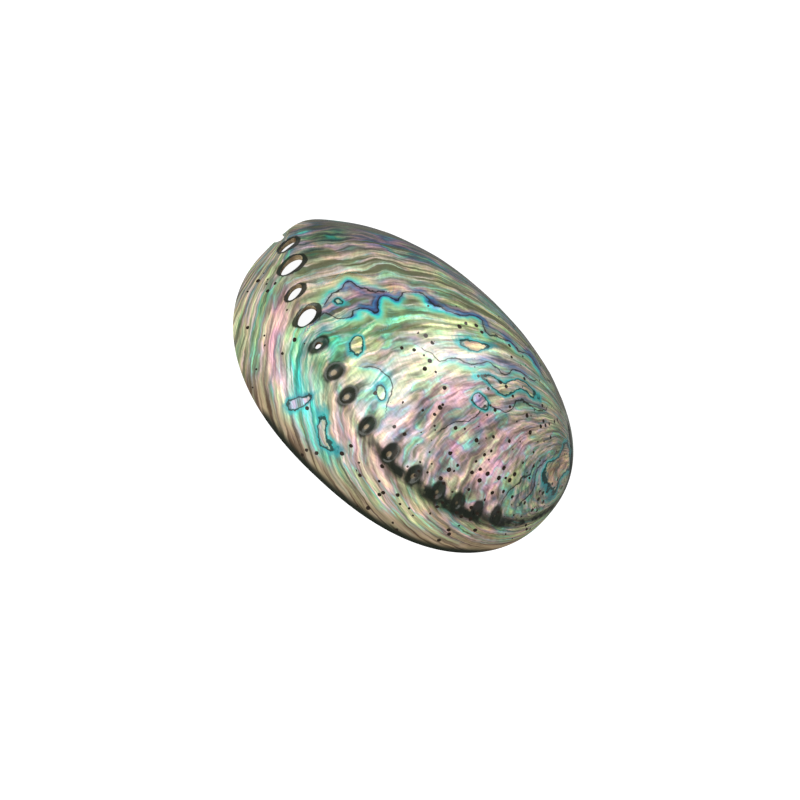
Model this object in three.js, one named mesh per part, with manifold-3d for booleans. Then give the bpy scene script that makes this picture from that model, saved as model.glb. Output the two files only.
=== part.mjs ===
// A polished abalone shell, resting rim down on a flat surface.
//
// Frame: millimetres, +Z up, origin in the middle of the rim plane. The long axis is X, with the
// newest growth and its open breathing holes at -X and the coiled spire at +X. The row of holes
// runs along the -Y side, so the shell coils the way every abalone does.
//
// The shell grew as one piece, so it is one closed solid: a domed outer surface, a flat rim to
// rest on, and a hollow inside. The breathing holes are cut right through it.

import * as THREE from 'three';
import { mergeVertices } from 'three/addons/utils/BufferGeometryUtils.js';
import Module from 'manifold-3d';

// Driving dimensions.
const HALF_LENGTH = 74.8;
const HALF_WIDTH = 56.2;
const HEIGHT = 41;
const RIM_SQUARENESS = 2.25; // exponent of the superellipse that the rim follows
const END_BEND = 2; // how far both ends of the rim lean towards +Y
const RIM_WALL = 2.2; // width of the flat band that the shell rests on
const CROWN_WALL = 3; // wall thickness at the top of the dome
const CROWN = { x: 4, y: -8 }; // the highest point, in plan
const DOME_POWER = 2.6; // how flat-topped the dome is
const DOME_POWER_SWING = 0.3; // the +Y side is fuller than the -Y side by this much

// The corner of the rim beside the newest hole stands out a little.
const CORNER = { angle: THREE.MathUtils.degToRad(160), width: 0.2, swell: 0.03 };

// The keel that carries the holes, in plan: three quarter ellipses end to end.
const KEEL_TURN = { x: 13, y: -41.4 }; // where the front and rear arcs meet
const KEEL_FRONT = { radiusX: 94, radiusY: 89.4, start: 182, end: 270 };
const KEEL_REAR = { radiusX: 59.5, radiusY: 51.4, start: 270, end: 360 };
const KEEL_LIP = { radiusX: 59.5, radiusY: 34, start: 0, end: 40 };
const KEEL_STEPS = 60;

// Relief on the outside, as heights and widths across the keel.
const RIDGE = { height: 1.7, width: 5 };
const BAND_HOLLOW = { height: -1.1, width: 5.5, offset: 9 };
const REAR_GROOVE = { height: -1.3, width: 2.4, offset: 1.2 };
const RIDGE_FADE = { from: 30, to: 66 }; // the ridge dies out between these X positions
const SPIRE = { x: 61, y: 7, height: 2.2, radius: 9 };
const RELIEF_INSIDE = 0.7; // share of the relief that the inner surface follows
const RIM_FADE = 0.1; // relief dies out over this outer share of the dome

// Breathing holes, newest first, beside the keel line in plan. Their long axes run along Y.
const HOLES = [
  { x: -69.5, y: 5.5, length: 9.2, width: 4.4 },
  { x: -62.3, y: -4.8, length: 11.4, width: 6.4 },
  { x: -53.6, y: -16.3, length: 7.4, width: 4.2 },
  { x: -43.9, y: -23, length: 9, width: 6 },
  { x: -33.1, y: -30.2, length: 2.8, width: 2.2 },
];
const HOLE_LEAN = 0.7; // how far the holes' axes turn from square to the wall towards +Z
const HOLE_REACH = 7; // how far each cutter runs on both sides of the wall
const HOLE_SIDES = 16;
const NOTCH = { x: -75, y: 9.6, length: 5, depth: 5, height: 2.2 };

// Facets.
const SECTORS = 96;
const OUTER_RINGS = 26;
const INNER_RINGS = 15;
const MERGE_DISTANCE = 1e-4; // corners closer than this are one corner

// How the outer surface above a plan point is found.
const ANGLE_STEPS = 60; // times that the angle is corrected
const ANGLE_GAIN = 0.7; // share of the error taken out each time
const SLOPE_STEP = 2; // plan distance over which the slope is measured

const NACRE = new THREE.MeshStandardMaterial({ color: 0xb9b79c, roughness: 0.18, metalness: 0.1 });

const wasm = await Module();
wasm.setup();

/** A signed power, which keeps superellipses symmetric. */
function signedPower(value, power) {
  return Math.sign(value) * Math.abs(value) ** power;
}

/** The rim's outer edge, in plan, at an angle; inset moves it inwards. */
function rimPoint(angle, inset) {
  const power = 2 / RIM_SQUARENESS;
  const x = (HALF_LENGTH - inset) * signedPower(Math.cos(angle), power);
  const y = (HALF_WIDTH - inset) * signedPower(Math.sin(angle), power);
  const turn = Math.atan2(Math.sin(angle - CORNER.angle), Math.cos(angle - CORNER.angle));
  const swell = 1 + CORNER.swell * Math.exp(-((turn / CORNER.width) ** 2));
  const lean = END_BEND * (x / HALF_LENGTH) ** 4;
  return new THREE.Vector2(x * swell, (y + lean) * swell);
}

/** Points along one arc of the keel, in plan. */
function keelArc(arc, centreY) {
  const points = [];
  for (let step = 0; step <= KEEL_STEPS; step += 1) {
    const degrees = THREE.MathUtils.lerp(arc.start, arc.end, step / KEEL_STEPS);
    const angle = THREE.MathUtils.degToRad(degrees);
    const x = KEEL_TURN.x + arc.radiusX * Math.cos(angle);
    points.push(new THREE.Vector2(x, centreY + arc.radiusY * Math.sin(angle)));
  }
  return points;
}

const REAR_CENTRE_Y = KEEL_TURN.y + KEEL_REAR.radiusY;
const KEEL = [
  ...keelArc(KEEL_FRONT, KEEL_TURN.y + KEEL_FRONT.radiusY),
  ...keelArc(KEEL_REAR, REAR_CENTRE_Y),
  ...keelArc(KEEL_LIP, REAR_CENTRE_Y),
];

/** Distance from the keel in plan: positive on the rim side, negative on the crown side. */
function distanceFromKeel(point) {
  let nearest = KEEL[0];
  for (const candidate of KEEL) {
    if (candidate.distanceTo(point) < nearest.distanceTo(point)) {
      nearest = candidate;
    }
  }
  const crown = new THREE.Vector2(CROWN.x, CROWN.y);
  const outward = nearest.clone().sub(crown).dot(point.clone().sub(nearest));
  return Math.sign(outward) * nearest.distanceTo(point);
}

/** A rounded bump: height at the middle, dying out over its width. */
function bump(distance, shape) {
  return shape.height * Math.exp(-((distance / shape.width) ** 2));
}

/** Height of the keel, the grooves beside it and the spire above the plain dome. */
function relief(point, rho) {
  const fromKeel = distanceFromKeel(point);
  const rear = THREE.MathUtils.smoothstep(point.x, RIDGE_FADE.from, RIDGE_FADE.to);
  const front = bump(fromKeel, RIDGE) + bump(fromKeel - BAND_HOLLOW.offset, BAND_HOLLOW);
  const groove = bump(fromKeel - REAR_GROOVE.offset, REAR_GROOVE);
  const fromSpire = Math.hypot(point.x - SPIRE.x, point.y - SPIRE.y);
  const spire = bump(fromSpire, { height: SPIRE.height, width: SPIRE.radius });
  const fade = THREE.MathUtils.smoothstep(1 - rho, 0, RIM_FADE);
  return fade * (front * (1 - rear) + groove * rear + spire);
}

/** A point of the outer or inner surface: rho is 0 at the crown and 1 at the rim. */
function surfacePoint(angle, rho, side) {
  const rim = rimPoint(angle, side.inset);
  const crown = new THREE.Vector2(CROWN.x, CROWN.y);
  const towardsRim = rim.clone().sub(crown);
  const plan = crown.clone().addScaledVector(towardsRim, rho);
  const power = DOME_POWER + (DOME_POWER_SWING * towardsRim.y) / towardsRim.length();
  const height = side.height * (1 - rho ** power) + side.relief * relief(plan, rho);
  return new THREE.Vector3(plan.x, plan.y, height);
}

const OUTSIDE = { inset: 0, height: HEIGHT, relief: 1, rings: OUTER_RINGS };
const INSIDE = {
  inset: RIM_WALL,
  height: HEIGHT - CROWN_WALL,
  relief: RELIEF_INSIDE,
  rings: INNER_RINGS,
};

/** Rows of points from the rim to the crown, one row for each ring. */
function surfaceRows(side) {
  const rows = [];
  for (let ring = side.rings; ring > 0; ring -= 1) {
    const row = [];
    for (let sector = 0; sector < SECTORS; sector += 1) {
      row.push(surfacePoint((sector / SECTORS) * 2 * Math.PI, ring / side.rings, side));
    }
    rows.push(row);
  }
  return rows;
}

/** The closed body before its holes are cut. */
function shellGeometry() {
  const outer = surfaceRows(OUTSIDE).reverse();
  const inner = surfaceRows(INSIDE);
  const rows = [...outer, ...inner];
  const corners = [];
  const addFace = (a, b, c) => corners.push(...a.toArray(), ...b.toArray(), ...c.toArray());
  const crownOutside = surfacePoint(0, 0, OUTSIDE);
  const crownInside = surfacePoint(0, 0, INSIDE);
  const lastRow = rows.at(-1);
  for (let sector = 0; sector < SECTORS; sector += 1) {
    const next = (sector + 1) % SECTORS;
    addFace(crownOutside, rows[0][sector], rows[0][next]);
    for (let row = 0; row + 1 < rows.length; row += 1) {
      addFace(rows[row][sector], rows[row + 1][sector], rows[row + 1][next]);
      addFace(rows[row][sector], rows[row + 1][next], rows[row][next]);
    }
    addFace(lastRow[sector], crownInside, lastRow[next]);
  }
  const geometry = new THREE.BufferGeometry();
  geometry.setAttribute('position', new THREE.Float32BufferAttribute(corners, 3));
  return geometry;
}

/** A manifold-3d solid from a closed three.js geometry. */
function solidFrom(geometry) {
  const bare = geometry.index ? geometry.toNonIndexed() : geometry.clone();
  bare.deleteAttribute('normal');
  bare.deleteAttribute('uv');
  const merged = mergeVertices(bare, MERGE_DISTANCE);
  const mesh = new wasm.Mesh({
    numProp: 3,
    vertProperties: new Float32Array(merged.attributes.position.array),
    triVerts: new Uint32Array(merged.index.array),
  });
  return new wasm.Manifold(mesh);
}

/** A three.js geometry from a manifold-3d solid. */
function geometryFrom(solid) {
  const mesh = solid.getMesh();
  const geometry = new THREE.BufferGeometry();
  geometry.setAttribute('position', new THREE.BufferAttribute(mesh.vertProperties, 3));
  geometry.setIndex(new THREE.BufferAttribute(mesh.triVerts, 1));
  return geometry;
}

/** The point of the outer surface above a plan point. Its angle is corrected step by step. */
function outerPointAbove(plan) {
  const crown = new THREE.Vector2(CROWN.x, CROWN.y);
  const target = plan.clone().sub(crown);
  let angle = target.angle();
  let rim = rimPoint(angle, 0).sub(crown);
  for (let step = 0; step < ANGLE_STEPS; step += 1) {
    angle += ANGLE_GAIN * Math.atan2(rim.cross(target), rim.dot(target));
    rim = rimPoint(angle, 0).sub(crown);
  }
  return surfacePoint(angle, target.length() / rim.length(), OUTSIDE);
}

/** The direction straight out of the outer surface above a plan point. */
function outwardAt(plan) {
  const eastOf = outerPointAbove(new THREE.Vector2(plan.x + SLOPE_STEP, plan.y));
  const northOf = outerPointAbove(new THREE.Vector2(plan.x, plan.y + SLOPE_STEP));
  const here = outerPointAbove(plan);
  return eastOf.sub(here).cross(northOf.sub(here)).normalize();
}

/** An elliptical rod that cuts one breathing hole, its axis between square and upright. */
function holeCutter(hole) {
  const plan = new THREE.Vector2(hole.x, hole.y);
  const axis = outwardAt(plan).add(new THREE.Vector3(0, 0, HOLE_LEAN)).normalize();
  const across = new THREE.Vector3(0, 1, 0).projectOnPlane(axis).normalize();
  const along = axis.clone().cross(across);
  const rod = new THREE.CylinderGeometry(0.5, 0.5, 2 * HOLE_REACH, HOLE_SIDES);
  rod.scale(hole.width, 1, hole.length);
  rod.applyMatrix4(new THREE.Matrix4().makeBasis(along, axis, across));
  rod.translate(...outerPointAbove(plan).toArray());
  return solidFrom(rod);
}

/** The half-formed newest hole: a rounded notch in the rim. */
function notchCutter() {
  const rod = new THREE.CylinderGeometry(0.5, 0.5, 2 * NOTCH.depth, HOLE_SIDES);
  rod.rotateZ(Math.PI / 2);
  rod.scale(1, NOTCH.length, 2 * NOTCH.height);
  rod.translate(NOTCH.x, NOTCH.y, 0);
  return solidFrom(rod);
}

/** The finished shell. */
function shellMesh() {
  let solid = solidFrom(shellGeometry());
  for (const hole of HOLES) {
    solid = solid.subtract(holeCutter(hole));
  }
  solid = solid.subtract(notchCutter());
  const mesh = new THREE.Mesh(geometryFrom(solid), NACRE);
  mesh.name = 'shell';
  return mesh;
}

const abaloneShell = new THREE.Group();
abaloneShell.add(shellMesh());

export default abaloneShell;
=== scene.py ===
"""A polished abalone shell on a pale floor.

The shell is built here again as a fine mesh from the same formulas as its CAD solid: a dome over a
superellipse rim, with a keel of breathing holes. Two coordinates laid over it steer both relief and
colour: growth, in millimetres along the keel, and across, a share that is 0 on the keel, 1 where
the growth lines would meet and -1 on the rim beyond the keel.
Plan positions are in millimetres, x towards the spire and y away from the holes.
"""
import math

import bmesh
import bpy
import numpy as np
from mathutils import Matrix, Vector


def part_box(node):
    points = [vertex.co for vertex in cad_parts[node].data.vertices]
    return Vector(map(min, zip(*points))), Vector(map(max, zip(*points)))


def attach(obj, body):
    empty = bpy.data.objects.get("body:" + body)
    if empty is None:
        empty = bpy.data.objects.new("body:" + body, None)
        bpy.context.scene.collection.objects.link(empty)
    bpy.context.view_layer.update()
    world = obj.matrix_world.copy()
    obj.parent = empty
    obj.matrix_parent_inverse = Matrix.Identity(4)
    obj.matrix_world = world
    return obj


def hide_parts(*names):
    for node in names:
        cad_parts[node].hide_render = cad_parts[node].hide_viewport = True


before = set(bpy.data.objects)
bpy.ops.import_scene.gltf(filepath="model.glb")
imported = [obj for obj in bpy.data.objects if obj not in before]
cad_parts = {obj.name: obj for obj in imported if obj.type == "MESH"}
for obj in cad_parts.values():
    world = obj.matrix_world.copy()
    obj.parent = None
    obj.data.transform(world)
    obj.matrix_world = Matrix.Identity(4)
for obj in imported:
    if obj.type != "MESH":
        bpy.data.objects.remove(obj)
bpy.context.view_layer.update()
MM = 0.001
FAR = 1e9

# The dome, repeated from the CAD solid. Half width and height come from the frame.
HIGH_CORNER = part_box("shell")[1]
HALF_LENGTH = 74.8
HALF_WIDTH = HIGH_CORNER[1] / MM
HEIGHT = HIGH_CORNER[2] / MM
RIM_SQUARENESS = 2.25
END_BEND = 2.0
RIM_WALL = 2.2
CROWN_WALL = 3.0
CROWN = (4.0, -8.0)
DOME_POWER = 2.6
DOME_POWER_SWING = 0.3
CORNER_ANGLE = math.radians(160)
CORNER_WIDTH = 0.2
CORNER_SWELL = 0.03
ANGLE_STEPS = 60
ANGLE_GAIN = 0.7
RIM_SAMPLES = 361

# The keel in plan: where its front and rear arcs meet, and its three elliptic arcs.
KEEL_TURN = (13.0, -41.4)
KEEL_FRONT = {"radii": (94.0, 89.4), "angles": (182, 270)}
KEEL_REAR = {"radii": (59.5, 51.4), "angles": (270, 360)}
KEEL_LIP = {"radii": (59.5, 34.0), "angles": (0, 40)}
KEEL_STEPS = 90

# Growth lines fan out from this point, just off the far margin by the spire, and sweep round as
# they near it. Past the keel's ends growth goes on at a rate for each radian. In the band outside
# the keel it falls off towards the rim.
FAN = (72.0, 38.0)
FAN_SWEEP = math.radians(34)
FAN_LIMIT = 1.2
FAN_RATE = 100.0
BAND_RATE = 50.0
BAND_POWER = 1.5
BAND_STRETCH = 0.4

# Open breathing holes, newest first: plan position, length along Y, width along X.
OPEN_HOLES = [
    (-69.5, 5.5, 9.2, 4.4),
    (-62.3, -4.8, 11.4, 6.4),
    (-53.6, -16.3, 7.4, 4.2),
    (-43.9, -23.0, 9.0, 6.0),
    (-33.1, -30.2, 2.8, 2.2),
]
# Grown-over holes: their places along the keel from its front end, and their first and last size.
# A hole shorter than SMALL_HOLE is filled or nearly so. HOLE_SPAN limits distances from an edge.
FILLED_PLACES = [105, 115, 128, 141, 153, 164, 173, 182, 191]
FILLED_SIZES = (2.7, 1.3)
SMALL_HOLE = 3.0
HOLE_LEAN = 0.7
HOLE_REACH = 7.0
HOLE_SIDES = 40
HOLE_SPAN = (-3, 12)
SLOPE_STEP = 2
NOTCH = {"x": -75.0, "y": 9.6, "length": 5.0, "depth": 5.0, "height": 2.2}

# Each hole has a lip at some distance out from its edge and a crater at the edge, each given by
# height and width.
OPEN_LIP = {"away": 0.9, "lip": (0.5, 1.0), "crater": (0.5, 0.5)}
FILLED_LIP = {"away": 1.6, "lip": (0.85, 1.4), "crater": (1.0, 0.9)}

# The ridge on the keel, the hollow beside it, the groove that takes over at the rear, and the
# spire. The ridge fades and the groove deepens over a span of x.
KEEL_RIDGE = {"height": 1.7, "width": 5.0}
BAND_HOLLOW = {"height": -1.1, "width": 5.5}
BAND_HOLLOW_AWAY = 9.0
REAR_GROOVE = {"height": -1.3, "width": 2.4}
REAR_GROOVE_AWAY = 1.2
REAR_SPAN = (30, 66)
SPIRE = {"height": 2.2, "width": 9.0}
SPIRE_PLACE = (61, 7)
INNER_SOFTNESS = 0.7
RIM_FADE = {"large": 0.10, "small": 0.04, "inner": 0.12}

# Smooth noise: height, size in millimetres and seed.
WAVE_COUNT = 7
WAVE_SPREAD = (0.7, 1.5)
DRIFT = (1.2, 26, 11)
PATCHY = (0.4, 30, 14)
PATCHY_LEVEL = 0.6
UNEVEN = (0.12, 14, 15)
INNER_UNEVEN = (0.25, 40, 21)
WOBBLE_X = (1.5, 18, 31)
WOBBLE_Y = (1.5, 18, 32)

# Growth ridges from broad to fine: spacing, height, and the noise that bends them. They lessen
# towards the fan point, to no less than one share, and rise by another near the spire.
GROWTH_RIDGES = [
    (8.5, 0.16, (0.0, 34, 12)),
    (3.7, 0.09, (2.0, 34, 12)),
    (1.9, 0.035, (3.0, 22, 13)),
]
FAN_RIDGES = 0.15
SPIRE_RIDGES = 1.3
SPIRE_SPAN = (36, 60)

# Mesh fineness.
SECTORS = 560
OUTER_RINGS = 112
INNER_SECTORS_SHARE = 2
INNER_RINGS = 60
SHARP_ANGLE = math.radians(50)


def smooth(value, low, high):
    """0 below low, 1 above high, eased between."""
    share = np.clip((value - low) / (high - low), 0, 1)
    return share * share * (3 - 2 * share)


def bump(distance, height, width):
    """A rounded bump that dies out over its width."""
    return height * np.exp(-((distance / width) ** 2))


def waves(x, y, height, size, seed):
    """Smooth noise of about this height, from sine waves of random direction."""
    draw = np.random.default_rng(seed)
    total = np.zeros_like(x)
    for _ in range(WAVE_COUNT):
        turn = draw.uniform(0, 2 * math.pi)
        pitch = 2 * math.pi / (size * draw.uniform(*WAVE_SPREAD))
        start = draw.uniform(0, 2 * math.pi)
        total += np.sin(pitch * (x * math.cos(turn) + y * math.sin(turn)) + start)
    return height * (total / math.sqrt(WAVE_COUNT))


def signed_power(value, power):
    """The power of a number's size, with its sign kept."""
    return np.sign(value) * np.abs(value) ** power


def rim_points(angle, inset=0.0):
    """The rim in plan at these angles."""
    power = 2 / RIM_SQUARENESS
    x = (HALF_LENGTH - inset) * signed_power(np.cos(angle), power)
    y = (HALF_WIDTH - inset) * signed_power(np.sin(angle), power)
    turn = np.arctan2(np.sin(angle - CORNER_ANGLE), np.cos(angle - CORNER_ANGLE))
    swell = 1 + CORNER_SWELL * np.exp(-((turn / CORNER_WIDTH) ** 2))
    return x * swell, (y + END_BEND * (x / HALF_LENGTH) ** 4) * swell


def keel_arc(arc, centre_y):
    """Points along one of the keel's ellipses."""
    angle = np.radians(np.linspace(*arc["angles"], KEEL_STEPS))
    across, along = arc["radii"]
    return np.stack([KEEL_TURN[0] + across * np.cos(angle), centre_y + along * np.sin(angle)], 1)


REAR_CENTRE_Y = KEEL_TURN[1] + KEEL_REAR["radii"][1]
KEEL = np.concatenate([
    keel_arc(KEEL_FRONT, KEEL_TURN[1] + KEEL_FRONT["radii"][1]),
    keel_arc(KEEL_REAR, REAR_CENTRE_Y),
    keel_arc(KEEL_LIP, REAR_CENTRE_Y),
])
KEEL_LENGTHS = np.concatenate([[0], np.cumsum(np.hypot(*np.diff(KEEL, axis=0).T))])


def nearest_on(line, x, y):
    """Distance to a polyline, the place along it in segments, and the side: 1 is left."""
    best = np.full(x.shape, FAR)
    place = np.zeros(x.shape)
    side = np.zeros(x.shape)
    for index, (start, end) in enumerate(zip(line[:-1], line[1:])):
        step = end - start
        size = float(step @ step)
        if math.isclose(size, 0, abs_tol=1e-12):
            continue
        share = np.clip(((x - start[0]) * step[0] + (y - start[1]) * step[1]) / size, 0, 1)
        gap_x = x - start[0] - share * step[0]
        gap_y = y - start[1] - share * step[1]
        gap = np.hypot(gap_x, gap_y)
        closer = gap < best
        best = np.where(closer, gap, best)
        place = np.where(closer, index + share, place)
        side = np.where(closer, np.sign(step[0] * gap_y - step[1] * gap_x), side)
    return best, place, side


def keel_distance(x, y):
    """Signed distance from the keel, positive towards the rim, and the length along it."""
    gap, place, side = nearest_on(KEEL, x, y)
    return -side * gap, np.interp(place, np.arange(len(KEEL)), KEEL_LENGTHS)


def growth_coordinates(x, y):
    """Growth and across, then the distances beyond the keel and from the rim."""
    fan_x = KEEL[:, 0] - FAN[0]
    fan_y = KEEL[:, 1] - FAN[1]
    keel_turn = np.unwrap(np.arctan2(fan_y, fan_x))
    facing_end = int(keel_turn.argmax()) + 1
    keel_turn = keel_turn[:facing_end]
    facing = np.arctan2(y - FAN[1], x - FAN[0]) % (2 * math.pi)
    reach = np.hypot(x - FAN[0], y - FAN[1])
    keel_reach = np.interp(facing, keel_turn, np.hypot(fan_x, fan_y)[:facing_end])
    share = np.clip(reach / keel_reach, 0, FAN_LIMIT)
    swept = facing + FAN_SWEEP * (1 - share)
    beyond = swept - np.clip(swept, keel_turn[0], keel_turn[-1])
    growth_inside = np.interp(swept, keel_turn, KEEL_LENGTHS[:facing_end]) + FAN_RATE * beyond
    gap, along = keel_distance(x, y)
    rim_x, rim_y = rim_points(np.linspace(0, 2 * math.pi, RIM_SAMPLES))
    to_rim, _, _ = nearest_on(np.stack([rim_x, rim_y], 1), x, y)
    band = np.clip(gap / (np.abs(gap) + to_rim + 1e-6), 0, 1)
    growth = np.where(gap > 0, along - BAND_RATE * band ** BAND_POWER, growth_inside)
    across = np.where(gap > 0, -band, 1 - np.clip(share, 0, 1))
    return growth, across, gap, to_rim


def filled_holes():
    """The grown-over holes, evenly shrinking along the keel."""
    x = np.interp(FILLED_PLACES, KEEL_LENGTHS, KEEL[:, 0])
    y = np.interp(FILLED_PLACES, KEEL_LENGTHS, KEEL[:, 1])
    sizes = np.linspace(*FILLED_SIZES, len(FILLED_PLACES))
    return list(zip(x, y, sizes, sizes))


def hole_distance(x, y, hole):
    """Distance outwards from a hole's edge, in millimetres."""
    centre_x, centre_y, length, width = hole
    share = np.hypot((x - centre_x) / (width / 2), (y - centre_y) / (length / 2))
    return (share - 1) * (length + width) / 4


def hole_relief(x, y):
    """Raised lips and craters round the holes."""
    total = np.zeros_like(x)
    for holes, form in ((OPEN_HOLES, OPEN_LIP), (filled_holes(), FILLED_LIP)):
        for hole in holes:
            away = hole_distance(x, y, hole)
            lip = bump(away - form["away"], *form["lip"])
            total += lip - bump(np.maximum(away, 0), *form["crater"])
    return total


def growth_relief(x, y, growth, across):
    """Growth ridges: broad swells and fine lines, in patches."""
    drift = growth + waves(x, y, *DRIFT)
    ridges = np.zeros_like(x)
    for spacing, height, bend in GROWTH_RIDGES:
        ridges += np.sin(2 * math.pi * drift / spacing + waves(x, y, *bend)) * height
    patchy = PATCHY_LEVEL + waves(x, y, *PATCHY)
    spread = np.clip(1 - across, FAN_RIDGES, 1)
    return ridges * patchy * spread * (1 + SPIRE_RIDGES * smooth(x, *SPIRE_SPAN))


def keel_ridge(x, gap):
    """The ridge on the keel and the hollow beside it, fading towards the rear."""
    front = bump(gap, **KEEL_RIDGE) + bump(gap - BAND_HOLLOW_AWAY, **BAND_HOLLOW)
    return front * (1 - smooth(x, *REAR_SPAN))


def spire_swell(x, y):
    """The low swelling of the coiled spire."""
    return bump(np.hypot(x - SPIRE_PLACE[0], y - SPIRE_PLACE[1]), **SPIRE)


def relief(x, y, rho):
    """Height of everything that stands above or below the plain dome."""
    growth, across, gap, _ = growth_coordinates(x, y)
    groove = bump(gap - REAR_GROOVE_AWAY, **REAR_GROOVE) * smooth(x, *REAR_SPAN)
    large = keel_ridge(x, gap) + groove + spire_swell(x, y)
    small = growth_relief(x, y, growth, across) + hole_relief(x, y) + waves(x, y, *UNEVEN)
    inwards = 1 - rho
    return smooth(inwards, 0, RIM_FADE["large"]) * large + smooth(inwards, 0, RIM_FADE["small"]) * small


def inner_relief(x, y, rho):
    """The inside follows the keel and spire, more softly."""
    gap, _ = keel_distance(x, y)
    soft = INNER_SOFTNESS * (keel_ridge(x, gap) + spire_swell(x, y)) + waves(x, y, *INNER_UNEVEN)
    return smooth(1 - rho, 0, RIM_FADE["inner"]) * soft


def surface(angle, rho, inset, height, relief_of):
    """Points of the outer or inner surface."""
    rim_x, rim_y = rim_points(angle, inset)
    reach_x = rim_x - CROWN[0]
    reach_y = rim_y - CROWN[1]
    x = CROWN[0] + rho * reach_x
    y = CROWN[1] + rho * reach_y
    power = DOME_POWER + DOME_POWER_SWING * reach_y / np.hypot(reach_x, reach_y)
    z = height * (1 - rho ** power) + relief_of(x, y, rho)
    return np.stack([x, y, np.maximum(z, 0)], -1)


def grid_rows(sectors, rings, inset, height, relief_of):
    """Rows of points from the rim to near the crown, and the crown point."""
    angle = np.linspace(0, 2 * math.pi, sectors, endpoint=False)
    rho = 1 - np.linspace(0, 1, rings + 1)[:-1]
    rows = surface(angle[None, :], rho[:, None], inset, height, relief_of)
    crown = surface(np.zeros(1), np.zeros(1), inset, height, relief_of)
    return rows, crown


def cap_faces(first, rows, sectors, crown, flip):
    """Quads between rows and a fan at the crown."""
    faces = []
    for row in range(rows - 1):
        for sector in range(sectors):
            after = (sector + 1) % sectors
            low = first + row * sectors
            quad = (low + sector, low + after, low + sectors + after, low + sectors + sector)
            faces.append(quad[::-1] if flip else quad)
    top = first + (rows - 1) * sectors
    for sector in range(sectors):
        fan = (top + sector, top + (sector + 1) % sectors, crown)
        faces.append(fan[::-1] if flip else fan)
    return faces


def shell_mesh():
    """The closed shell before its holes are cut. Material 0 is outside, 1 inside, 2 the rim."""
    outer, outer_crown = grid_rows(SECTORS, OUTER_RINGS, 0.0, HEIGHT, relief)
    inner_sectors = SECTORS // INNER_SECTORS_SHARE
    inner, inner_crown = grid_rows(
        inner_sectors, INNER_RINGS, RIM_WALL, HEIGHT - CROWN_WALL, inner_relief)
    points = np.concatenate([
        outer.reshape(-1, 3), outer_crown, inner.reshape(-1, 3), inner_crown])
    first_inner = outer.shape[0] * SECTORS + 1
    faces = cap_faces(0, outer.shape[0], SECTORS, first_inner - 1, False)
    outer_count = len(faces)
    faces += cap_faces(first_inner, inner.shape[0], inner_sectors, len(points) - 1, True)
    inner_count = len(faces) - outer_count
    for sector in range(inner_sectors):
        start = sector * INNER_SECTORS_SHARE
        after = (sector + 1) % inner_sectors
        edge = [(start + step) % SECTORS for step in range(INNER_SECTORS_SHARE, -1, -1)]
        faces.append((*edge, first_inner + sector, first_inner + after))
    mesh = bpy.data.meshes.new("shell_skin")
    mesh.from_pydata((points * MM).tolist(), [], faces)
    slots = np.full(len(faces), 2)
    slots[:outer_count] = 0
    slots[outer_count:outer_count + inner_count] = 1
    mesh.polygons.foreach_set("material_index", slots)
    return mesh


def dome_point(plan):
    """The plain outer surface above a plan point. The angle is corrected in steps until the rim
    point at it lies straight beyond the plan point, as seen from the crown."""
    target = np.array([plan.x - CROWN[0], plan.y - CROWN[1]])
    angle = math.atan2(target[1], target[0])
    for _ in range(ANGLE_STEPS):
        rim_x, rim_y = rim_points(np.array([angle]))
        reach = np.array([rim_x[0] - CROWN[0], rim_y[0] - CROWN[1]])
        error = math.atan2(
            reach[0] * target[1] - reach[1] * target[0], float(reach @ target))
        angle += ANGLE_GAIN * error
    rho = np.hypot(*target) / np.hypot(*reach)
    plain = surface(np.array([angle]), np.array([rho]), 0.0, HEIGHT, lambda x, y, share: 0 * x)
    return Vector(plain[0])


def rod(name, matrix, material):
    """A round rod one unit across and two units long, placed by a matrix."""
    build = bmesh.new()
    bmesh.ops.create_cone(build, cap_ends=True, segments=HOLE_SIDES, radius1=0.5, radius2=0.5,
                          depth=2.0, matrix=matrix)
    bmesh.ops.scale(build, vec=(MM, MM, MM), verts=build.verts)
    mesh = bpy.data.meshes.new(name)
    build.to_mesh(mesh)
    build.free()
    mesh.materials.append(material)
    piece = bpy.data.objects.new(name, mesh)
    bpy.context.collection.objects.link(piece)
    return piece


def hole_cutter(hole, material):
    """An elliptical rod at an open hole, its axis between square to the wall and upright."""
    centre = Vector((hole[0], hole[1], 0))
    here = dome_point(centre)
    east = dome_point(centre + Vector((SLOPE_STEP, 0, 0)))
    north = dome_point(centre + Vector((0, SLOPE_STEP, 0)))
    axis = (east - here).cross(north - here).normalized() + Vector((0, 0, HOLE_LEAN))
    axis.normalize()
    across = Vector((0, 1, 0))
    across = (across - across.dot(axis) * axis).normalized()
    turn = Matrix((across.cross(axis), across, axis)).transposed().to_4x4()
    size = Matrix.Diagonal((hole[3], hole[2], HOLE_REACH, 1))
    return rod("hole", Matrix.Translation(here) @ turn @ size, material)


def notch_cutter(material):
    """The half-formed newest hole, a rounded notch in the rim."""
    turn = Matrix.Rotation(math.pi / 2, 4, "Y")
    size = Matrix.Diagonal((NOTCH["depth"], NOTCH["length"], 2 * NOTCH["height"], 1))
    place = Matrix.Translation((NOTCH["x"], NOTCH["y"], 0))
    return rod("notch", place @ size @ turn, material)


def cut(piece, cutters):
    """Cut the rods out of the piece and delete them."""
    for cutter in cutters:
        step = piece.modifiers.new("cut", "BOOLEAN")
        step.operation = "DIFFERENCE"
        step.solver = "EXACT"
        step.material_mode = "TRANSFER"
        step.object = cutter
    graph = bpy.context.evaluated_depsgraph_get()
    result = bpy.data.meshes.new_from_object(piece.evaluated_get(graph))
    piece.modifiers.clear()
    piece.data = result
    for cutter in cutters:
        bpy.data.objects.remove(cutter)


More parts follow.
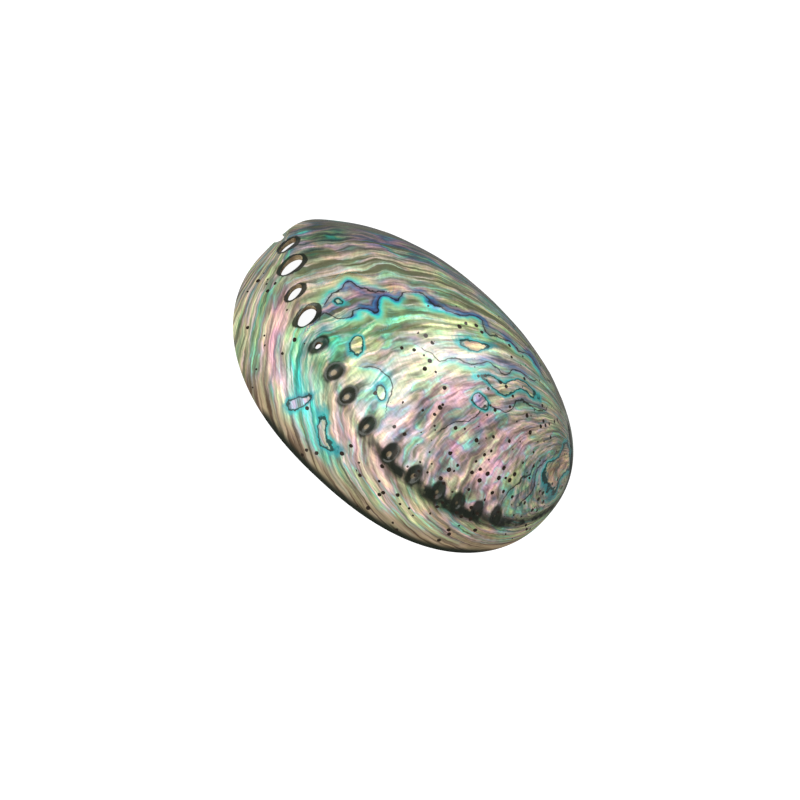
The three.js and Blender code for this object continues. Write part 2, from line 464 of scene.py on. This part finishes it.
# Tints of the nacre, the bare shell and the pits, as linear colours.
TINTS = {
    "cream": (0.72, 0.69, 0.42),
    "white": (0.92, 0.92, 0.66),
    "lime": (0.46, 0.62, 0.22),
    "sage": (0.27, 0.33, 0.20),
    "emerald": (0.025, 0.48, 0.22),
    "turquoise": (0.045, 0.68, 0.58),
    "teal": (0.02, 0.13, 0.13),
    "indigo": (0.03, 0.03, 0.13),
    "blue": (0.04, 0.16, 0.38),
    "lilac": (0.44, 0.30, 0.46),
    "pink": (0.80, 0.43, 0.50),
    "slate": (0.22, 0.34, 0.34),
    "rose": (0.58, 0.21, 0.34),
    "peach": (0.80, 0.50, 0.28),
    "amber": (0.52, 0.27, 0.09),
    "olive": (0.10, 0.11, 0.05),
    "brown": (0.09, 0.05, 0.025),
    "tan": (0.36, 0.27, 0.16),
    "black": (0.010, 0.014, 0.008),
    "pit": (0.02, 0.012, 0.006),
    "silver": (0.78, 0.78, 0.74),
}

# Broad colour zones, painted one over another: plan position, reach in growth and in across,
# strength, and tint.
ZONES = [
    # The dome, from the newest growth to the spire.
    (-60, 14, 14, 0.32, 1.0, "teal"),
    (-35, 33, 22, 0.17, 1.0, "indigo"),
    (5, 38, 22, 0.17, 1.0, "teal"),
    (40, 38, 20, 0.15, 1.0, "olive"),
    (-48, 4, 7, 0.30, 0.9, "cream"),
    (-30, 14, 7, 0.30, 0.8, "cream"),
    (-14, 18, 7, 0.35, 0.9, "lime"),
    (-34, -2, 5, 0.16, 1.0, "lilac"),
    (-38, -14, 5, 0.09, 1.0, "indigo"),
    (-31, 1, 3, 0.07, 0.9, "amber"),
    (-27, -13, 4, 0.30, 0.9, "turquoise"),
    (-10, 3, 7, 0.35, 0.9, "lime"),
    (-26, -20, 4, 0.12, 1.0, "emerald"),
    (4, -3, 10, 0.30, 1.0, "white"),
    (20, 12, 4, 0.10, 0.9, "blue"),
    (-7, -30, 5, 0.07, 0.9, "turquoise"),
    (14, -16, 7, 0.30, 0.9, "pink"),
    (12, -30, 5, 0.08, 0.9, "olive"),
    (5, -33, 3, 0.05, 0.8, "slate"),
    (30, -14, 8, 0.28, 0.9, "rose"),
    (36, 2, 6, 0.16, 0.9, "sage"),
    (33, -11, 2.5, 0.2, 0.9, "slate"),
    (44, -16, 9, 0.28, 1.0, "pink"),
    (54, -12, 5, 0.12, 0.8, "lime"),
    (62, 2, 7, 0.20, 0.8, "lilac"),
    # The band outside the keel, and the rear flange.
    (-62, -16, 14, 0.35, 0.9, "sage"),
    (-50, -30, 10, 0.35, 1.0, "pink"),
    (-40, -33, 7, 0.25, 1.0, "lime"),
    (-8, -44, 8, 0.20, 0.9, "cream"),
    (-25, -43, 12, 0.30, 1.0, "turquoise"),
    (10, -46, 16, 0.25, 0.9, "pink"),
    (38, -44, 16, 0.30, 0.9, "cream"),
    (64, -28, 22, 0.50, 1.0, "tan"),
]

# Dark wavy lines, each of one or more legs joined end to end, and how strong the fringe is.
# A leg has its start, end, bow to the left, wave height and number of waves. The fringe is
# violet on a leg's left and turquoise on its right.
VEINS = [
    ([((-30, 0), (-43, -17), -4.5, 0.6, 2)], 0.8),
    ([((-40, -22), (-24, 5), -3.5, 1.8, 3), ((-24, 5), (38, 32), 1.0, 1.2, 5)], 0.9),
    ([((-6, -11), (34, 23), -3.0, 1.0, 4)], 0.55),
    ([((-15, -27), (1, -32), 4.0, 0.6, 2)], 0.5),
    ([((20, -26), (46, 18), 2.5, 0.8, 3)], 0.15),
    ([((58, -20), (57, -2), 0.8, 0.4, 2)], 0.3),
    ([((63, -13), (60, 6), 1.0, 0.4, 2)], 0.3),
]
VEIN_STEPS = 60
VEIN_REACH = 6.0

# Outlined islands: plan position, length, width, turn in degrees, and tint.
ISLANDS = [
    (9, 10, 13, 5, 45, "peach"),
    (29, 8, 26, 5, 42, "sage"),
    (25, -8, 6, 5, 20, "lilac"),
    (-22, -25, 6, 5, 30, "lime"),
    (-5, -31, 4.5, 3.5, 0, "cream"),
    (-25, -44, 5, 3.5, 60, "lilac"),
    (-9, -47, 9, 2.5, -12, "sage"),
    (-39, -12, 3.5, 2, 30, "emerald"),
    (65, 13, 25, 8, 92, "peach"),
]

# The dark groove: where it starts along x, its width and how that changes along x, its distance
# beyond the keel, and its soft edge as shares of the width.
GROOVE_START = (-25, 20)
GROOVE_WIDTH = 1.1
GROOVE_WIDENING = (0.8, 0, 50)
GROOVE_NARROWING = (0.9, 60, 72)
GROOVE_AWAY = 1.6
GROOVE_EDGE = (0.5, 1.4)

# Where markings and painted shade fade in or out: by distance from the rim, distance beyond the keel, x
# or growth.
# BAND_PITS is the share of pits in the band outside the keel, and where they set in.
# The near rim's brown is its wear; the black line at its very edge is painted shade by the floor.
RIM_WEAR_AND_SHADE = {"from_rim": (0.2, 6.5), "beyond_keel": (4, 10), "along": (-58, -28)}
# Painted shade: the nacre is made darker near the far rim, on the far side of the keel.
PAINTED_FAR_SHADE = {"from_rim": (3, 24), "beyond_keel": (-3, -10)}
BANDED = {"growth": (150, 60), "beyond_keel": (2, -2)}
PITTED = {"along": (-30, 40), "beyond_keel": (14, -4)}
BAND_PITS = (0.25, 2, 6)


def wavy_line(start, end, bow, height, count):
    """A line from start to end in plan, bowed to its left, with waves across it."""
    start, end = np.array(start, float), np.array(end, float)
    share = np.linspace(0, 1, VEIN_STEPS)
    step = end - start
    sideways = np.array([-step[1], step[0]]) / np.hypot(*step)
    lift = 4 * bow * share * (1 - share) + height * np.sin(2 * math.pi * count * share)
    return start + share[:, None] * step + lift[:, None] * sideways


def paint_zones(growth, across):
    """Colour at each point: the zones one over another on a sage ground."""
    colour = np.tile(TINTS["sage"], (len(growth), 1))
    places = np.array([zone[:2] for zone in ZONES], float)
    zone_growth, zone_across, _, _ = growth_coordinates(places[:, 0], places[:, 1])
    for index, (_, _, reach_growth, reach_across, strength, tint) in enumerate(ZONES):
        far_growth = (growth - zone_growth[index]) / reach_growth
        far_across = (across - zone_across[index]) / reach_across
        share = strength * np.exp(-(far_growth ** 2 + far_across ** 2))[:, None]
        colour = colour * (1 - share) + np.array(TINTS[tint]) * share
    return colour


def vein_field(x, y):
    """Distance to the nearest wavy line, signed (positive on its left) and plain, and the
    strength of its fringe."""
    best = np.full(x.shape, VEIN_REACH)
    signed = np.full(x.shape, VEIN_REACH)
    fringe = np.zeros(x.shape)
    for legs, strength in VEINS:
        line = np.concatenate([wavy_line(*leg) for leg in legs])
        gap, _, side = nearest_on(line, x, y)
        closer = gap < best
        best = np.where(closer, gap, best)
        signed = np.where(closer, gap * np.where(side >= 0, 1, -1), signed)
        fringe = np.where(closer, strength, fringe)
    return signed, best, fringe


def island_fields(x, y):
    """Signed distance to the nearest island's edge, negative inside it, and its tint."""
    best = np.full(x.shape, VEIN_REACH)
    tint = np.zeros((len(x), 3))
    for centre_x, centre_y, length, width, turn, name in ISLANDS:
        angle = math.radians(turn)
        along = (x - centre_x) * math.cos(angle) + (y - centre_y) * math.sin(angle)
        sideways = (y - centre_y) * math.cos(angle) - (x - centre_x) * math.sin(angle)
        share = np.hypot(along / (length / 2), sideways / (width / 2))
        away = (share - 1) * width / 2
        closer = away < best
        best = np.where(closer, away, best)
        tint = np.where(closer[:, None], TINTS[name], tint)
    return best, tint


def hole_fields(x, y):
    """Distance from the edge of the nearest hole, and whether it is filled or nearly so."""
    best = np.full(x.shape, FAR)
    filled = np.zeros(x.shape)
    for hole in OPEN_HOLES + filled_holes():
        away = hole_distance(x, y, hole)
        closer = away < best
        best = np.where(closer, away, best)
        filled = np.where(closer, float(hole[2] < SMALL_HOLE), filled)
    return np.clip(best, *HOLE_SPAN), filled


def groove_shade(x, gap):
    """Dark green-black along the keel and in the groove beyond it."""
    widening, *wide_span = GROOVE_WIDENING
    narrowing, *narrow_span = GROOVE_NARROWING
    width = GROOVE_WIDTH + widening * smooth(x, *wide_span) - narrowing * smooth(x, *narrow_span)
    inner, outer = GROOVE_EDGE
    dark = 1 - smooth(np.abs(gap - GROOVE_AWAY), inner * width, outer * width)
    return smooth(x, *GROOVE_START) * dark


def edge_fields(x, growth, gap, to_rim):
    """Shares of the rim's stain with its black line of painted shade, the painted shade of the far
    edge, the banding and the pits.
    """
    stain = (1 - smooth(to_rim, *RIM_WEAR_AND_SHADE["from_rim"])) * smooth(gap, *RIM_WEAR_AND_SHADE["beyond_keel"])
    # Painted shade near the far rim.
    painted_far_shade = (1 - smooth(to_rim, *PAINTED_FAR_SHADE["from_rim"])) * smooth(gap, *PAINTED_FAR_SHADE["beyond_keel"])
    banded = smooth(growth, *BANDED["growth"]) * smooth(gap, *BANDED["beyond_keel"])
    pitted = smooth(x, *PITTED["along"]) * smooth(gap, *PITTED["beyond_keel"])
    most, *band_span = BAND_PITS
    return {
        # The near rim: worn brown, and painted shade at its very edge.
        "rim": stain * smooth(x, *RIM_WEAR_AND_SHADE["along"]),
        "painted_far_shade": painted_far_shade,
        "banded": banded,
        "pitted": pitted + most * smooth(gap, *band_span),
    }


def store(mesh, name, values):
    """Keep one number for each point of the mesh."""
    layer = mesh.attributes.new(name, "FLOAT", "POINT")
    layer.data.foreach_set("value", np.asarray(values, np.float32))


def store_colour(mesh, name, colours):
    """Keep one colour for each point of the mesh."""
    layer = mesh.attributes.new(name, "FLOAT_COLOR", "POINT")
    opaque_colours = np.concatenate([colours, np.ones((len(colours), 1))], 1)
    layer.data.foreach_set("color", opaque_colours.astype(np.float32).ravel())


def paint_fields(mesh):
    """Lay the fields that steer the nacre's colour on the mesh, one value for each point."""
    points = np.empty(len(mesh.vertices) * 3, np.float32)
    mesh.vertices.foreach_get("co", points)
    points = points.reshape(-1, 3).astype(float) / MM
    x, y = points[:, 0], points[:, 1]
    wobble_x = x + waves(x, y, *WOBBLE_X)
    wobble_y = y + waves(x, y, *WOBBLE_Y)
    growth, across, gap, to_rim = growth_coordinates(x, y)
    soft_growth, soft_across, _, _ = growth_coordinates(wobble_x, wobble_y)
    island, island_tint = island_fields(wobble_x, wobble_y)
    vein, vein_gap, fringe = vein_field(wobble_x, wobble_y)
    hole, filled = hole_fields(x, y)
    store_colour(mesh, "tint", paint_zones(soft_growth, soft_across))
    store_colour(mesh, "island_tint", island_tint)
    fields = {
        "island": island,
        "vein": vein,
        "vein_gap": vein_gap,
        "fringe": fringe,
        "growth": growth,
        "across": np.where(across < 0, BAND_STRETCH * across, across),
        "hole": hole,
        "filled": filled,
        "groove": groove_shade(x, gap),
        **edge_fields(x, growth, gap, to_rim),
    }
    for name, values in fields.items():
        store(mesh, name, values)


class Graph:
    """Short calls for building a material's nodes."""

    def __init__(self, name):
        self.material = bpy.data.materials.new(name)
        self.material.use_nodes = True
        self.nodes = self.material.node_tree.nodes
        self.links = self.material.node_tree.links
        self.shader = self.nodes["Principled BSDF"]

    def set(self, node, inputs):
        for name, value in inputs.items():
            if isinstance(value, bpy.types.NodeSocket):
                self.links.new(value, node.inputs[name])
            else:
                node.inputs[name].default_value = value

    def add(self, kind, inputs, **settings):
        node = self.nodes.new(kind)
        for name, value in settings.items():
            setattr(node, name, value)
        self.set(node, inputs)
        return node

    def field(self, name):
        return self.add("ShaderNodeAttribute", {}, attribute_name=name).outputs["Fac"]

    def tint(self, name):
        return self.add("ShaderNodeAttribute", {}, attribute_name=name).outputs["Color"]

    def math(self, operation, first, second=0.0):
        return self.add("ShaderNodeMath", {0: first, 1: second}, operation=operation).outputs[0]

    def span(self, value, low, high, to_low=0.0, to_high=1.0):
        node = self.add("ShaderNodeMapRange", {
            "Value": value, "From Min": low, "From Max": high, "To Min": to_low, "To Max": to_high,
        }, interpolation_type="SMOOTHSTEP")
        return node.outputs["Result"]

    def noise(self, vector, scale, detail=2.0, roughness=0.5):
        node = self.add("ShaderNodeTexNoise", {
            "Vector": vector, "Scale": scale, "Detail": detail, "Roughness": roughness})
        return node.outputs["Fac"]

    def wander(self, place, height, scale, detail=2.0, roughness=0.5):
        """Noise about zero, which makes an edge or a line ragged."""
        centred = self.math("SUBTRACT", self.noise(place, scale, detail, roughness), 0.5)
        return self.math("MULTIPLY", centred, height)

    def vector(self, x, y, z):
        return self.add("ShaderNodeCombineXYZ", {"X": x, "Y": y, "Z": z}).outputs[0]

    def place(self):
        return self.add("ShaderNodeTexCoord", {}).outputs["Object"]

    def shade(self, colour, brightness):
        """The colour made lighter or darker."""
        return self.mix(1.0, colour, self.vector(brightness, brightness, brightness), "MULTIPLY")

    def mix(self, share, first, second, blend="MIX"):
        node = self.add("ShaderNodeMix", {}, data_type="RGBA", blend_type=blend)
        self.set(node, {0: share, 6: first, 7: second})
        return node.outputs[2]

    def ramp(self, value, stops):
        node = self.add("ShaderNodeValToRGB", {"Fac": value})
        band = node.color_ramp
        band.elements[0].position = stops[0][0]
        band.elements[0].color = (*stops[0][1], 1)
        band.elements[1].position = stops[-1][0]
        band.elements[1].color = (*stops[-1][1], 1)
        for place, colour in stops[1:-1]:
            band.elements.new(place).color = (*colour, 1)
        return node.outputs["Color"]


def opaque(name):
    """A tint as a node's colour."""
    return (*TINTS[name], 1.0)


# The rainbow orders of nacre, and how often they repeat.
NACRE_ORDERS = [
    (0.0, TINTS["cream"]),
    (0.16, TINTS["lime"]),
    (0.30, TINTS["emerald"]),
    (0.42, TINTS["turquoise"]),
    (0.52, TINTS["blue"]),
    (0.62, TINTS["lilac"]),
    (0.76, TINTS["pink"]),
    (0.88, TINTS["peach"]),
    (1.0, TINTS["cream"]),
]
ORDERS_REPEAT = 3.4

# Noise drawn out along the growth lines: scale in growth, scale in across, offset, detail.
LONG_SILK = (0.24, 6.0, 1.0, 2)
SHORT_SILK = (0.6, 14.0, 5.0, 2)
CROSS_SILK = (0.25, 110.0, 9.0, 2)
ORDER_SILK = (0.09, 6.0, 3.0, 2)
DARK_BANDS = (0.2, 2.4, 7.0, 3)
INNER_SILK = (0.12, 3.0, 2.0, 2)
SILK_ROUGHNESS = 0.6

# Each of these is a span of a field, and the result at its two ends where that is not 0 and 1.
RAINBOW_SHARE = (0.35, 0.65, 0.10, 0.48)
# The light and dark silk streaks are the nacre's banding and partly painted sheen of its layers.
LONG_BRIGHT = (0.3, 0.7, 0.4, 1.55)
SHORT_BRIGHT = (0.3, 0.7, 0.72, 1.25)
CROSS_BRIGHT = (0.3, 0.7, 0.86, 1.12)
# Painted shade: how dark the nacre gets at the far edge.
PAINTED_FAR_SHADE_LEVEL = (0.0, 1.0, 1.0, 0.36)
BAND_DEPTH = (0.50, 0.60)
BANDED_SHARE = (0.0, 1.0, 0.22, 0.9)
SILK_GLOSS = (0.3, 0.7, 0.24, 0.36)
LINE_SHARE = (0.40, 0.12)
FRINGE_SHARE = (5.0, 1.0)
FRINGE_PATCHES = (0.38, 0.56, 0.2, 1.0)
BESIDE_VEIN = (2.8, 2.2, 0.0, 0.9)
HALO_OUTSIDE = (1.8, 0.2)
HALO_INSIDE = (-0.6, 0.0)
ISLAND_SHARE = (0.0, -0.4, 0.0, 0.8)
RING_WIDTH = (0.0, 1.0, 1.0, 2.6)
RING_SHARE = (1.0, 0.55)
PLUG_SHARE = (-0.1, -0.6, 0.0, 0.6)
GLINTS = (0.38, 0.56, 0.7, 1.0)
WORN_SHARE = (0.35, 0.6)
STAIN_SHARE = (0.0, 0.75, 0.0, 0.85)
# The black line of painted shade at the rim's very edge.
RIM_SHADE_LINE = (0.86, 1.0)
PIT_SIZES = (0.0, 1.0, 0.12, 0.27)
INNER_BRIGHT = (0.3, 0.7, 0.75, 1.1)

# Noise about zero: height, scale, and where given detail and roughness. Heights are in
# millimetres, but for the pits in shares of the space that each pit has.
SLOW_WANDER = (9.0, 60)
QUICK_WANDER = (1.5, 330)
VEIN_WANDER = (4.0, 160, 3, 0.6)
ISLAND_WANDER = (3.0, 240, 3, 0.6)
HOLE_WANDER = (1.2, 300)
PIT_WANDER = (0.08, 900, 1)

# Plain noise: scale, detail, and where given roughness.
FRINGE_NOISE = (75, 2)
HALO_NOISE = (90, 1)
GLINT_NOISE = (210, 3)
CLOUD_NOISE = (30, 1, 0.5)
LAYER_NOISE = (320, 3, 0.6)

LINE_STRENGTH = 0.88
RING_STRENGTH = 0.95
PIT_SCALE = 290.0
SILK_DEPTH = 0.5
CLOUD_REPEAT = 1.6
SILVER_SHARE = 0.6

# The fringe of a wavy line, from the line outwards, over these distances in millimetres.
LEFT_FRINGE = [
    (0.0, TINTS["indigo"]),
    (0.18, TINTS["blue"]),
    (0.42, TINTS["indigo"]),
    (0.7, TINTS["lilac"]),
    (1.0, TINTS["tan"]),
]
LEFT_REACH = 5.0
RIGHT_FRINGE = [(0.0, TINTS["blue"]), (0.25, TINTS["turquoise"]), (1.0, TINTS["lime"])]
RIGHT_REACH = 4.0
EDGE_LAYERS = [(0.3, TINTS["brown"]), (0.55, TINTS["tan"]), (0.8, TINTS["cream"])]


def streaks(graph, line, across, along_scale, across_scale, offset, detail):
    """Noise drawn out along the growth lines."""
    stretched = graph.math("MULTIPLY", across, across_scale)
    scaled_line = graph.math("MULTIPLY", line, along_scale)
    return graph.noise(graph.vector(scaled_line, stretched, offset), 1.0, detail, SILK_ROUGHNESS)


def nacre_streaks_sheen_and_shade(graph, long_silk, short_silk, cross_silk):
    """Silky light and dark streaks, partly painted sheen, made darker towards the far edge by painted
    shade.
    """
    bright = graph.math("MULTIPLY", graph.span(long_silk, *LONG_BRIGHT),
                        graph.span(short_silk, *SHORT_BRIGHT))
    bright = graph.math("MULTIPLY", bright, graph.span(cross_silk, *CROSS_BRIGHT))
    # Painted shade: darker towards the far rim.
    return graph.math("MULTIPLY", bright, graph.span(graph.field("painted_far_shade"), *PAINTED_FAR_SHADE_LEVEL))


def nacre_tints(graph, ground, line, across):
    """The ground tint, broken up by rainbow orders, silky streaks and dark growth bands."""
    long_silk = streaks(graph, line, across, *LONG_SILK)
    short_silk = streaks(graph, line, across, *SHORT_SILK)
    cross_silk = streaks(graph, line, across, *CROSS_SILK)
    orders = graph.math("MULTIPLY", streaks(graph, line, across, *ORDER_SILK), ORDERS_REPEAT)
    rainbow = graph.ramp(graph.math("FRACT", orders), NACRE_ORDERS)
    colour = graph.mix(graph.span(short_silk, *RAINBOW_SHARE), ground, rainbow)
    # Light and dark streaks: the nacre's banding, partly painted sheen.
    colour = graph.shade(colour, nacre_streaks_sheen_and_shade(graph, long_silk, short_silk, cross_silk))
    bands = graph.span(streaks(graph, line, across, *DARK_BANDS), *BAND_DEPTH)
    share = graph.math("MULTIPLY", bands, graph.span(graph.field("banded"), *BANDED_SHARE))
    return graph.mix(share, colour, opaque("olive")), long_silk


def dark_line(graph, colour, distance, strength):
    """A thin dark line where the distance is about zero."""
    share = graph.span(graph.math("ABSOLUTE", distance), *LINE_SHARE)
    return graph.mix(graph.math("MULTIPLY", share, strength), colour, opaque("black"))


def add_veins(graph, colour, place):
    """Wavy dark lines, violet to blue on their left and turquoise on their right."""
    vein = graph.math("ADD", graph.field("vein"), graph.wander(place, *VEIN_WANDER))
    near = graph.math("ABSOLUTE", vein)
    left = graph.ramp(graph.span(near, 0.0, LEFT_REACH), LEFT_FRINGE)
    right = graph.ramp(graph.span(near, 0.0, RIGHT_REACH), RIGHT_FRINGE)
    fringe = graph.mix(graph.math("GREATER_THAN", vein, 0.0), right, left)
    patchy = graph.span(graph.noise(place, *FRINGE_NOISE), *FRINGE_PATCHES)
    patchy = graph.math("MULTIPLY", patchy, graph.field("fringe"))
    share = graph.math("MULTIPLY", graph.span(near, *FRINGE_SHARE), patchy)
    beside_vein = graph.span(graph.field("vein_gap"), *BESIDE_VEIN)
    return dark_line(graph, graph.mix(share, colour, fringe), vein, beside_vein)


def outline_islands(graph, colour, island, place):
    """Dark outlines with a blue halo round the islands."""
    halo = graph.math("MULTIPLY", graph.span(island, *HALO_OUTSIDE), graph.span(island, *HALO_INSIDE))
    halo_tint = graph.mix(graph.noise(place, *HALO_NOISE), opaque("indigo"), opaque("turquoise"))
    return dark_line(graph, graph.mix(halo, colour, halo_tint), island, LINE_STRENGTH)


def add_holes(graph, colour, place):
    """Dark rings round the holes, pale plugs in the filled ones, and the dark groove."""
    hole = graph.math("ADD", graph.field("hole"), graph.wander(place, *HOLE_WANDER))
    filled = graph.field("filled")
    width = graph.span(filled, *RING_WIDTH)
    ring = graph.span(graph.math("DIVIDE", hole, width), *RING_SHARE)
    colour = graph.mix(graph.math("MULTIPLY", ring, RING_STRENGTH), colour, opaque("black"))
    plug = graph.math("MULTIPLY", filled, graph.span(hole, *PLUG_SHARE))
    colour = graph.mix(plug, colour, opaque("tan"))
    glints = graph.span(graph.noise(place, *GLINT_NOISE), *GLINTS)
    groove = graph.math("MULTIPLY", graph.field("groove"), glints)
    return graph.mix(groove, colour, opaque("black"))


def add_worn_rim_and_shade(graph, colour, silk):
    """The worn brown of the near rim, and at its very edge a black line of painted shade where the rim
    meets the floor.
    """
    rim = graph.field("rim")
    worn = graph.mix(graph.span(silk, *WORN_SHARE), opaque("brown"), opaque("tan"))
    colour = graph.mix(graph.span(rim, *STAIN_SHARE), colour, worn)
    # Painted shade: black at the rim's very edge.
    return graph.mix(graph.span(rim, *RIM_SHADE_LINE), colour, opaque("black"))


def pit_spots(graph, place):
    """Where the small dark pits lie."""
    pits = graph.add("ShaderNodeTexVoronoi", {"Vector": place, "Scale": PIT_SCALE})
    chance = graph.add("ShaderNodeSeparateColor", {"Color": pits.outputs["Color"]})
    picked = graph.math("LESS_THAN", chance.outputs[0], graph.field("pitted"))
    size = graph.span(chance.outputs[1], *PIT_SIZES)
    ragged = graph.math("ADD", pits.outputs["Distance"], graph.wander(place, *PIT_WANDER))
    return graph.math("MULTIPLY", picked, graph.math("LESS_THAN", ragged, size))


def nacre_outside():
    """Polished outer nacre: tints along growth lines, dark veins with fringes, pits."""
    graph = Graph("nacre_outside")
    place = graph.place()
    wander = graph.math("ADD", graph.wander(place, *SLOW_WANDER), graph.wander(place, *QUICK_WANDER))
    line = graph.math("ADD", graph.field("growth"), wander)
    island = graph.math("ADD", graph.field("island"), graph.wander(place, *ISLAND_WANDER))
    ground = graph.mix(graph.span(island, *ISLAND_SHARE), graph.tint("tint"), graph.tint("island_tint"))
    colour, silk = nacre_tints(graph, ground, line, graph.field("across"))
    colour = add_veins(graph, colour, place)
    colour = outline_islands(graph, colour, island, place)
    colour = add_holes(graph, colour, place)
    colour = add_worn_rim_and_shade(graph, colour, silk)
    spot = pit_spots(graph, place)
    depth = graph.math("SUBTRACT", graph.math("MULTIPLY", silk, SILK_DEPTH), spot)
    dent = graph.add("ShaderNodeBump", {"Height": depth, "Strength": 0.3, "Distance": 0.0004})
    graph.set(graph.shader, {
        "Base Color": graph.mix(spot, colour, opaque("pit")),
        "Metallic": 0.15,
        "Roughness": graph.span(silk, *SILK_GLOSS),
        "Specular IOR Level": 0.3,
        "Coat Weight": 0.2,
        "Coat Roughness": 0.10,
        "Coat IOR": 1.3,
        "Normal": dent.outputs["Normal"],
    })
    return graph.material


def nacre_inside():
    """The inner face: silvery nacre with soft pink and green cloud."""
    graph = Graph("nacre_inside")
    cloud = graph.math("MULTIPLY", graph.noise(graph.place(), *CLOUD_NOISE), CLOUD_REPEAT)
    streak = streaks(graph, graph.field("growth"), graph.field("across"), *INNER_SILK)
    hue = graph.math("FRACT", graph.math("ADD", cloud, streak))
    sheen = graph.mix(SILVER_SHARE, graph.ramp(hue, NACRE_ORDERS), opaque("silver"))
    dent = graph.add("ShaderNodeBump", {"Height": streak, "Strength": 0.2, "Distance": 0.0006})
    graph.set(graph.shader, {
        "Base Color": graph.shade(sheen, graph.span(streak, *INNER_BRIGHT)),
        "Metallic": 0.3,
        "Roughness": 0.2,
        "Coat Weight": 0.6,
        "Coat Roughness": 0.08,
        "Normal": dent.outputs["Normal"],
    })
    return graph.material


def shell_edge():
    """The bare rim and the walls of the holes: dark brown layers in pale shell."""
    graph = Graph("shell_edge")
    colour = graph.ramp(graph.noise(graph.place(), *LAYER_NOISE), EDGE_LAYERS)
    graph.set(graph.shader, {"Base Color": colour, "Roughness": 0.3, "Coat Weight": 0.4})
    return graph.material


def build_shell():
    """The one piece: the fine shell with its holes cut and its markings laid on."""
    outside, inside, edge = nacre_outside(), nacre_inside(), shell_edge()
    mesh = shell_mesh()
    for material in (outside, inside, edge):
        mesh.materials.append(material)
    piece = bpy.data.objects.new("abalone_shell", mesh)
    bpy.context.collection.objects.link(piece)
    cutters = [hole_cutter(hole, edge) for hole in OPEN_HOLES]
    cutters.append(notch_cutter(edge))
    cut(piece, cutters)
    paint_fields(piece.data)
    piece.data.shade_smooth()
    piece.data.set_sharp_from_angle(angle=SHARP_ANGLE)
    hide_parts("shell")
    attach(piece, "root")


# The view: straight over the keel side, rolled so that the shell lies corner to corner.
ELEVATION = math.radians(58)
ROLL = math.radians(43)
DISTANCE = 0.845
LENS = 99.9
AIM = {"up": -0.001, "near": 0.012}
OFFSET = {"right": -0.0012, "up": -0.0049}

WHITE = (1, 1, 1, 1)
FLOOR_TINT = (0.25, 0.25, 0.25, 1)
FLOOR_GLOW = 0.95
FLOOR_SIZE = 3.0
STUDIO_LEVEL = 0.30

# Soft round lights: name, place, size and power. Both face the middle of the shell.
LIGHTS = [
    ("key", (-0.25, -0.80, 0.70), 1.2, 15.0),
    ("back", (0.06, 0.56, 0.80), 0.5, 3.6),
]
LIGHT_TARGET = Vector((0, 0, 0.015))


def add_camera():
    """A long lens that looks down on the shell from its keel side."""
    view_up = Vector((0, math.sin(ELEVATION), math.cos(ELEVATION)))
    towards = Vector((0, -math.cos(ELEVATION), math.sin(ELEVATION)))
    sideways = Vector((1, 0, 0))
    right = math.cos(ROLL) * sideways + math.sin(ROLL) * view_up
    up = -math.sin(ROLL) * sideways + math.cos(ROLL) * view_up
    place = AIM["up"] * view_up + (AIM["near"] + DISTANCE) * towards
    place += OFFSET["right"] * right + OFFSET["up"] * up
    data = bpy.data.cameras.new("camera")
    data.lens = LENS
    camera = bpy.data.objects.new("camera", data)
    turn = Matrix((right, up, towards)).transposed().to_4x4()
    camera.matrix_world = Matrix.Translation(place) @ turn
    bpy.context.collection.objects.link(camera)
    bpy.context.scene.camera = camera


def add_light(name, place, size, power):
    """A soft round light that faces the shell."""
    data = bpy.data.lights.new(name, "AREA")
    data.shape = "DISK"
    data.size = size
    data.energy = power
    light = bpy.data.objects.new(name, data)
    light.location = place
    light.rotation_euler = (LIGHT_TARGET - Vector(place)).to_track_quat("-Z", "Y").to_euler()
    bpy.context.collection.objects.link(light)


def add_floor():
    """A pale floor. Its glow shows only to the camera, so it is pale under the shell too."""
    graph = Graph("pale_floor")
    seen = graph.add("ShaderNodeLightPath", {}).outputs["Is Camera Ray"]
    graph.set(graph.shader, {
        "Base Color": FLOOR_TINT,
        "Roughness": 0.9,
        "Specular IOR Level": 0.0,
        "Emission Color": WHITE,
        "Emission Strength": graph.math("MULTIPLY", seen, FLOOR_GLOW),
    })
    build = bmesh.new()
    bmesh.ops.create_grid(build, x_segments=1, y_segments=1, size=FLOOR_SIZE)
    mesh = bpy.data.meshes.new("floor")
    build.to_mesh(mesh)
    build.free()
    mesh.materials.append(graph.material)
    floor = bpy.data.objects.new("floor", mesh)
    bpy.context.collection.objects.link(floor)


def add_surroundings():
    """A dim studio that the camera sees as white."""
    world = bpy.data.worlds.new("studio")
    world.use_nodes = True
    tree = world.node_tree
    seen = tree.nodes.new("ShaderNodeLightPath").outputs["Is Camera Ray"]
    level = tree.nodes.new("ShaderNodeMapRange")
    level.inputs["To Min"].default_value = STUDIO_LEVEL
    level.inputs["To Max"].default_value = 1.0
    tree.links.new(seen, level.inputs["Value"])
    backdrop = tree.nodes["Background"]
    backdrop.inputs["Color"].default_value = WHITE
    tree.links.new(level.outputs["Result"], backdrop.inputs["Strength"])
    bpy.context.scene.world = world
    bpy.context.scene.view_settings.view_transform = "Standard"


add_camera()
build_shell()
add_floor()
add_surroundings()
for light_row in LIGHTS:
    add_light(*light_row)
